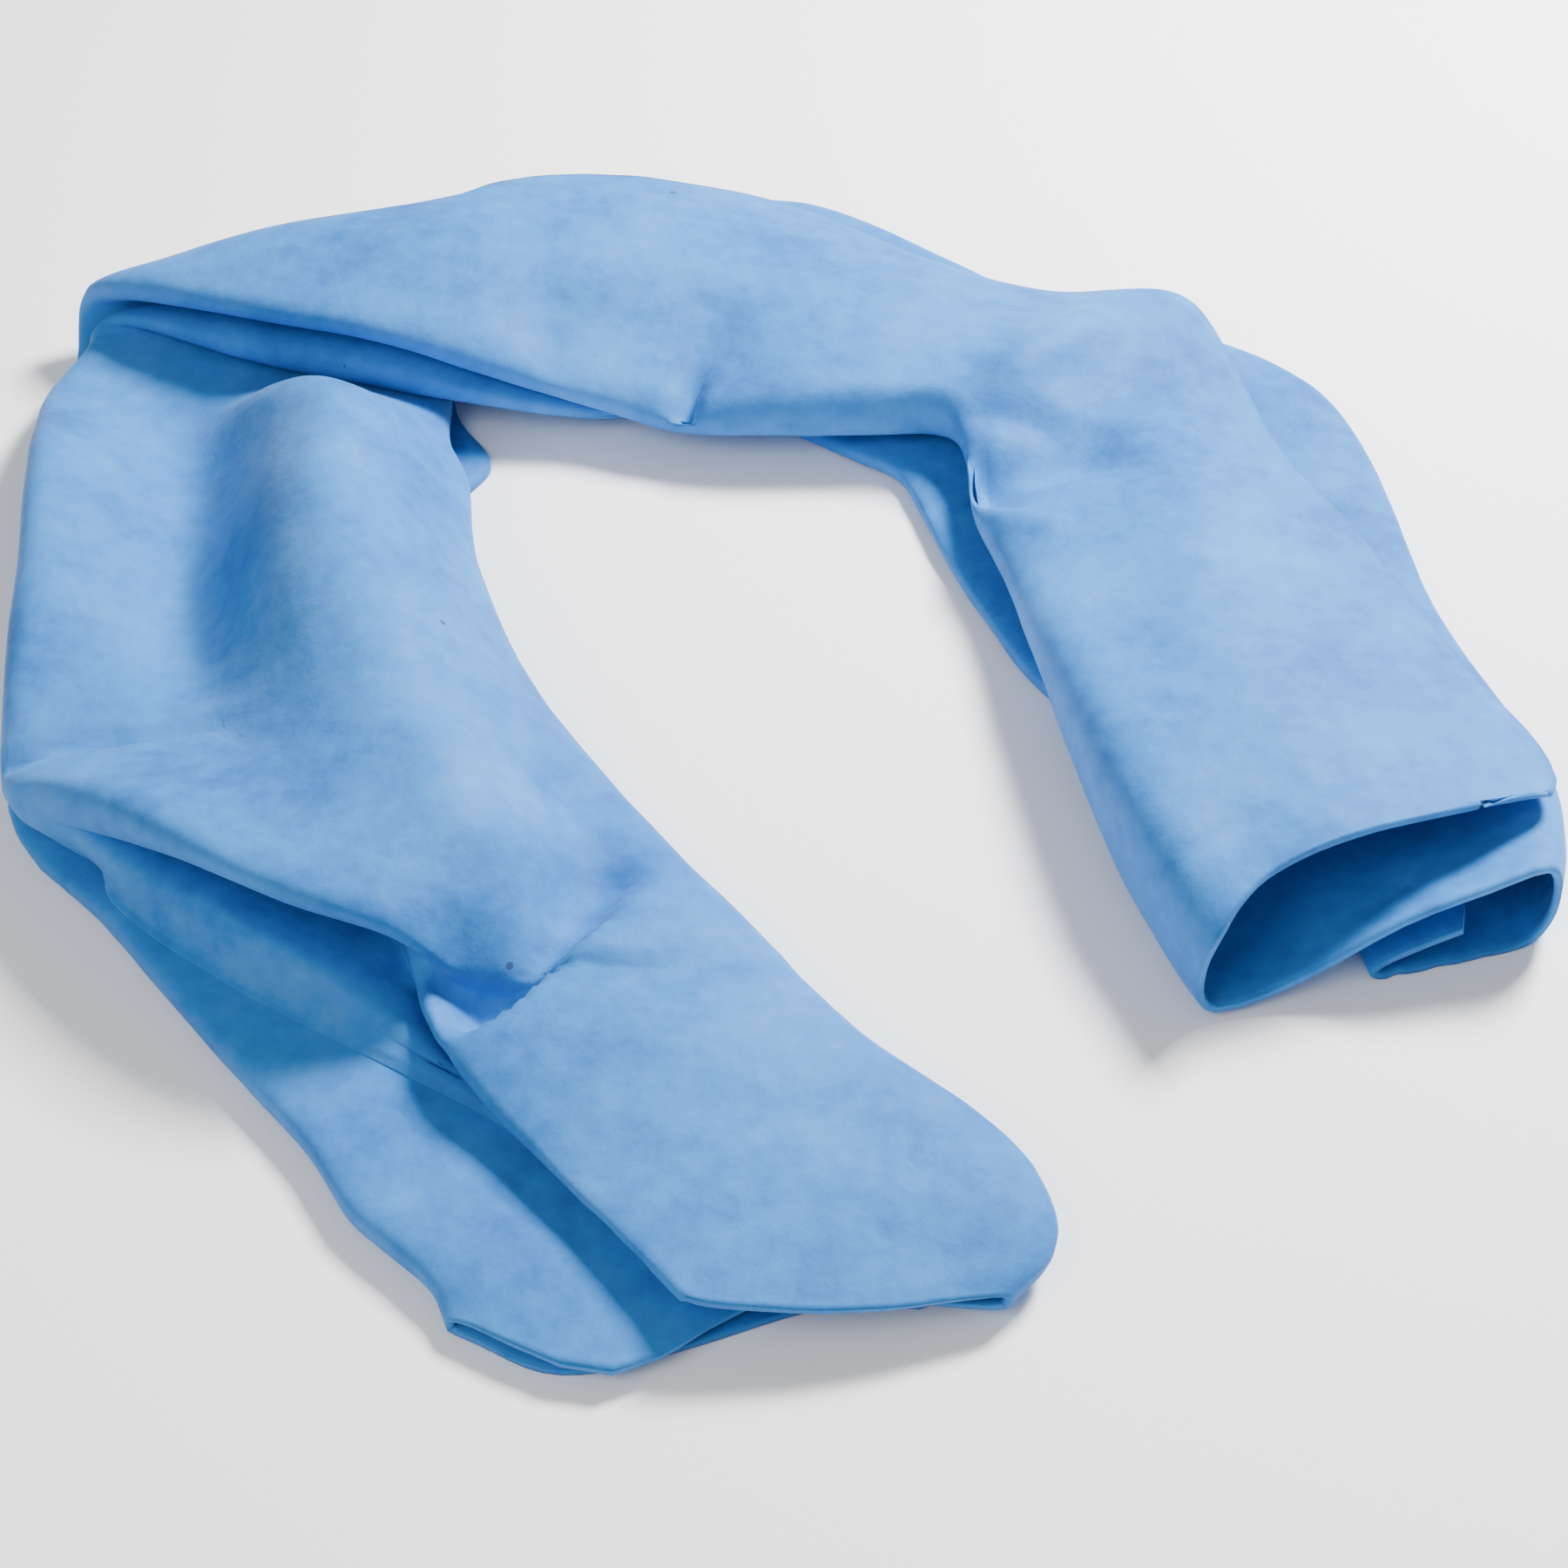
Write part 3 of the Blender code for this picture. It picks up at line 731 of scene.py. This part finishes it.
@dataclass(frozen=True)
class SpongeFinish:
    """Damp PVA sponge sheet: light blue, matt, softly mottled, with fine pores and a few specks.

    Real material: PVA foam, a frothed and cured sponge cast as a thin sheet and
    kept damp.  Its skin is smooth and dull, so the eye sees soft broad shading
    with hardly a highlight, cloudy patches where it holds more water, fine
    mottling from the pores, and a few dark specks.

    Args:
        light: colour of the driest patches.
        body: the sheet's main colour.
        deep: colour of the wettest patches.
        speck: colour of the tiny specks.
        stops: places of the deep, main and light colours in the patches.
        patch_scale: damp patches per metre, one about every 38 mm.
        mottle_scale: fine mottling per metre, one about every 6 mm.
        mottle_share: strength of the mottling beside the patches.
        speck_scale: cells per metre with a speck each, about 29 mm wide and deep.
        speck_size: radius of a speck as a share of its cell.
        pore_scale: pores per metre; real ones, about 0.1 mm, are too fine to show.
        pore_depth: depth of the pores, in metres.
        pore_strength: strength of the pores.
        rumple_scale: soft rumples per metre, one about every 17 mm.
        rumple_depth: depth of the rumples, in metres.
        rumple_strength: strength of the rumples.
        roughness: roughness of the damp skin.
        specular: strength of its dull highlight.
        sheen: pale bloom of its fine open cells at a low angle.
        sheen_roughness: spread of that bloom.
    """

    light: str = "#3F87CE"
    body: str = "#2F79C2"
    deep: str = "#2466AE"
    speck: str = "#34527E"
    stops: Three = (0.36, 0.50, 0.66)
    patch_scale: float = 26.0
    mottle_scale: float = 170.0
    mottle_share: float = 0.35
    speck_scale: float = 34.0
    speck_size: float = 0.03
    pore_scale: float = 1500.0
    pore_depth: float = 0.0003
    pore_strength: float = 0.25
    rumple_scale: float = 60.0
    rumple_depth: float = 0.003
    rumple_strength: float = 0.35
    roughness: float = 0.62
    specular: float = 0.15
    sheen: float = 0.05
    sheen_roughness: float = 0.5

    def material(self) -> bpy.types.Material:
        """Builds the material.

        Returns:
            The procedural material, on Object coordinates.
        """
        material = new_material("pva_sponge_sheet")
        tree = material.node_tree
        coords = add_node(tree, "ShaderNodeTexCoord", "object coordinates").outputs["Object"]
        shader = add_node(
            tree, "ShaderNodeBsdfPrincipled", "damp sponge",
            {"Roughness": self.roughness, "Specular IOR Level": self.specular,
             "Sheen Weight": self.sheen, "Sheen Roughness": self.sheen_roughness},
            {"Base Color": self._colour(tree, coords), "Normal": self._relief(tree, coords)},
        )
        add_node(
            tree, "ShaderNodeOutputMaterial", "surface",
            links={"Surface": shader.outputs["BSDF"]},
        )
        return material

    def _colour(
        self, tree: bpy.types.NodeTree, coords: bpy.types.NodeSocket
    ) -> bpy.types.NodeSocket:
        """Damp patches with fine mottling and specks.

        Args:
            tree: the material's node tree.
            coords: the Object coordinates.

        Returns:
            The socket that gives the colour.
        """
        patches = add_node(
            tree, "ShaderNodeTexNoise", "damp patches",
            {"Scale": self.patch_scale, "Detail": 4.0, "Roughness": 0.55},
            {"Vector": coords},
        )
        mottling = add_node(
            tree, "ShaderNodeTexNoise", "fine mottling",
            {"Scale": self.mottle_scale, "Detail": 5.0, "Roughness": 0.6},
            {"Vector": coords},
        )
        blend = add_node(
            tree, "ShaderNodeMix", "patches with mottling",
            {"data_type": "FLOAT", MIX_FACTOR: self.mottle_share},
            {MIX_FLOATS[0]: patches.outputs["Fac"], MIX_FLOATS[1]: mottling.outputs["Fac"]},
        )
        ramp = add_node(
            tree, "ShaderNodeValToRGB", "sheet colours", links={"Fac": blend.outputs[MIX_FLOAT_OUT]}
        )
        stops = ramp.color_ramp.elements
        stops[0].position, stops[0].color = self.stops[0], linear(self.deep)
        stops[1].position, stops[1].color = self.stops[2], linear(self.light)
        stops.new(self.stops[1]).color = linear(self.body)
        dots = add_node(
            tree, "ShaderNodeTexVoronoi", "specks",
            {"Scale": self.speck_scale, "Randomness": 1.0},
            {"Vector": coords},
        )
        near = add_node(
            tree, "ShaderNodeMath", "speck size",
            {"operation": "LESS_THAN", 1: self.speck_size},
            {0: dots.outputs["Distance"]},
        )
        speckled = add_node(
            tree, "ShaderNodeMix", "colour with specks",
            {"data_type": "RGBA", MIX_COLOURS[1]: linear(self.speck)},
            {MIX_FACTOR: near.outputs[0], MIX_COLOURS[0]: ramp.outputs["Color"]},
        )
        return speckled.outputs[MIX_COLOUR_OUT]

    def _relief(
        self, tree: bpy.types.NodeTree, coords: bpy.types.NodeSocket
    ) -> bpy.types.NodeSocket:
        """Soft rumples with pores on them.

        Args:
            tree: the material's node tree.
            coords: the Object coordinates.

        Returns:
            The socket that gives the normal.
        """
        rumples = add_node(
            tree, "ShaderNodeTexNoise", "soft rumples",
            {"Scale": self.rumple_scale, "Detail": 4.0, "Roughness": 0.5},
            {"Vector": coords},
        )
        pores = add_node(
            tree, "ShaderNodeTexNoise", "pores",
            {"Scale": self.pore_scale, "Detail": 3.0, "Roughness": 0.7},
            {"Vector": coords},
        )
        rumple_bump = add_node(
            tree, "ShaderNodeBump", "rumple bump",
            {"Strength": self.rumple_strength, "Distance": self.rumple_depth},
            {"Height": rumples.outputs["Fac"]},
        )
        pore_bump = add_node(
            tree, "ShaderNodeBump", "pore bump",
            {"Strength": self.pore_strength, "Distance": self.pore_depth},
            {"Height": pores.outputs["Fac"], "Normal": rumple_bump.outputs["Normal"]},
        )
        return pore_bump.outputs["Normal"]


@dataclass(frozen=True)
class PaleFloorFinish:
    """Matt white studio board: painted flat, so it shows soft shadows and no highlight.

    Args:
        colour: colour of the paint.
        roughness: roughness of the paint.
    """

    colour: str = "#FFFFFF"
    roughness: float = 0.9

    def material(self) -> bpy.types.Material:
        """Builds the material."""
        material = new_material("matt_white_board")
        tree = material.node_tree
        shader = add_node(
            tree, "ShaderNodeBsdfPrincipled", "matt floor",
            {"Base Color": linear(self.colour), "Roughness": self.roughness},
        )
        add_node(
            tree, "ShaderNodeOutputMaterial", "surface",
            links={"Surface": shader.outputs["BSDF"]},
        )
        return material


@dataclass(frozen=True)
class Lamp:
    """One soft studio light.

    Args:
        name: the light's name.
        place: where it stands, in metres.
        power: its power in watts.
        size: the side of its square, in metres.
    """

    name: str
    place: Three
    power: float
    size: float

    def build(self) -> None:
        """Makes the square area light, aimed at the towel."""
        data = bpy.data.lights.new(self.name, "AREA")
        data.energy = self.power
        data.size = self.size
        light = bpy.data.objects.new(self.name, data)
        light.location = self.place
        light.rotation_euler = Vector(self.place).to_track_quat("Z", "Y").to_euler()
        bpy.context.scene.collection.objects.link(light)


@dataclass(frozen=True)
class Studio:
    """Floor, lights and camera round the towel.

    Args:
        sizes: the towel's sizes, for the camera's aim.
        elevation: the camera's angle above the floor, in degrees.
        distance: how far the camera stands, in metres.
        focal_px: the lens's focal length in pixels of the picture.
        frame_px: the picture's side, in pixels.
        sensor_mm: width of the camera's sensor.
        aim_height: height that the camera aims at, in metres.
        floor_size: side of the square floor, in metres.
        floor_drop: how far the floor lies below the towel, in metres.
        sky: brightness of the white surroundings.
        lamps: the studio lights.
    """

    sizes: SheetSizes
    elevation: float = 46.0
    distance: float = 0.672
    focal_px: float = 3256.0
    frame_px: float = 1800.0
    sensor_mm: float = 36.0
    aim_height: float = 0.0126
    floor_size: float = 6.0
    floor_drop: float = 0.0002
    sky: float = 0.38
    lamps: tuple[Lamp, ...] = (
        Lamp("key_light", (0.48, 0.44, 0.72), 33.0, 0.26),
        Lamp("fill_light", (-0.5, -0.6, 0.8), 5.0, 0.6),
    )

    def build(self) -> None:
        """Makes the floor, the lights, the surroundings and the camera."""
        self._floor()
        for lamp in self.lamps:
            lamp.build()
            LOG.info("%s: %.0f W", lamp.name, lamp.power)
        world = bpy.data.worlds.new("studio")
        world.use_nodes = True
        surroundings = world.node_tree.nodes["Background"]
        surroundings.inputs["Color"].default_value = (1, 1, 1, 1)
        surroundings.inputs["Strength"].default_value = self.sky
        bpy.context.scene.world = world
        self._camera()

    def _floor(self) -> None:
        """Makes the plain pale floor that the towel lies on."""
        bpy.ops.mesh.primitive_plane_add(size=self.floor_size, location=(0, 0, -self.floor_drop))
        floor = bpy.context.object
        floor.name = "floor"
        floor.data.materials.append(PaleFloorFinish().material())
        LOG.info("floor: %.1f m square", self.floor_size)

    def _camera(self) -> None:
        """Sets the camera at the picture's viewing angle."""
        size = self.sizes
        tilt = math.radians(self.elevation)
        back = Vector((0, -math.cos(tilt), math.sin(tilt)))
        aim = Vector((-size.centre[0] * size.part, -size.centre[1] * size.part, self.aim_height))
        data = bpy.data.cameras.new("camera")
        data.sensor_width = self.sensor_mm
        data.lens = self.sensor_mm * self.focal_px / self.frame_px
        camera = bpy.data.objects.new("camera", data)
        camera.location = aim + back * self.distance
        camera.rotation_euler = back.to_track_quat("Z", "Y").to_euler()
        bpy.context.scene.collection.objects.link(camera)
        bpy.context.scene.camera = camera
        LOG.info("camera: %.0f degrees above the floor", self.elevation)


def main() -> None:
    """Builds the dressed towel in its studio."""
    logging.basicConfig(level=logging.INFO, format="%(name)s: %(message)s")
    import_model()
    sizes = SheetSizes()
    sheet = FoldedSheet(sizes).build("towel_sheet")
    sheet.data.materials.append(SpongeFinish().material())
    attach(sheet, "root")
    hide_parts("towel")
    LOG.info("towel_sheet: %d faces", len(sheet.data.polygons))
    Studio(sizes).build()


if __name__ == "__main__":
    main()
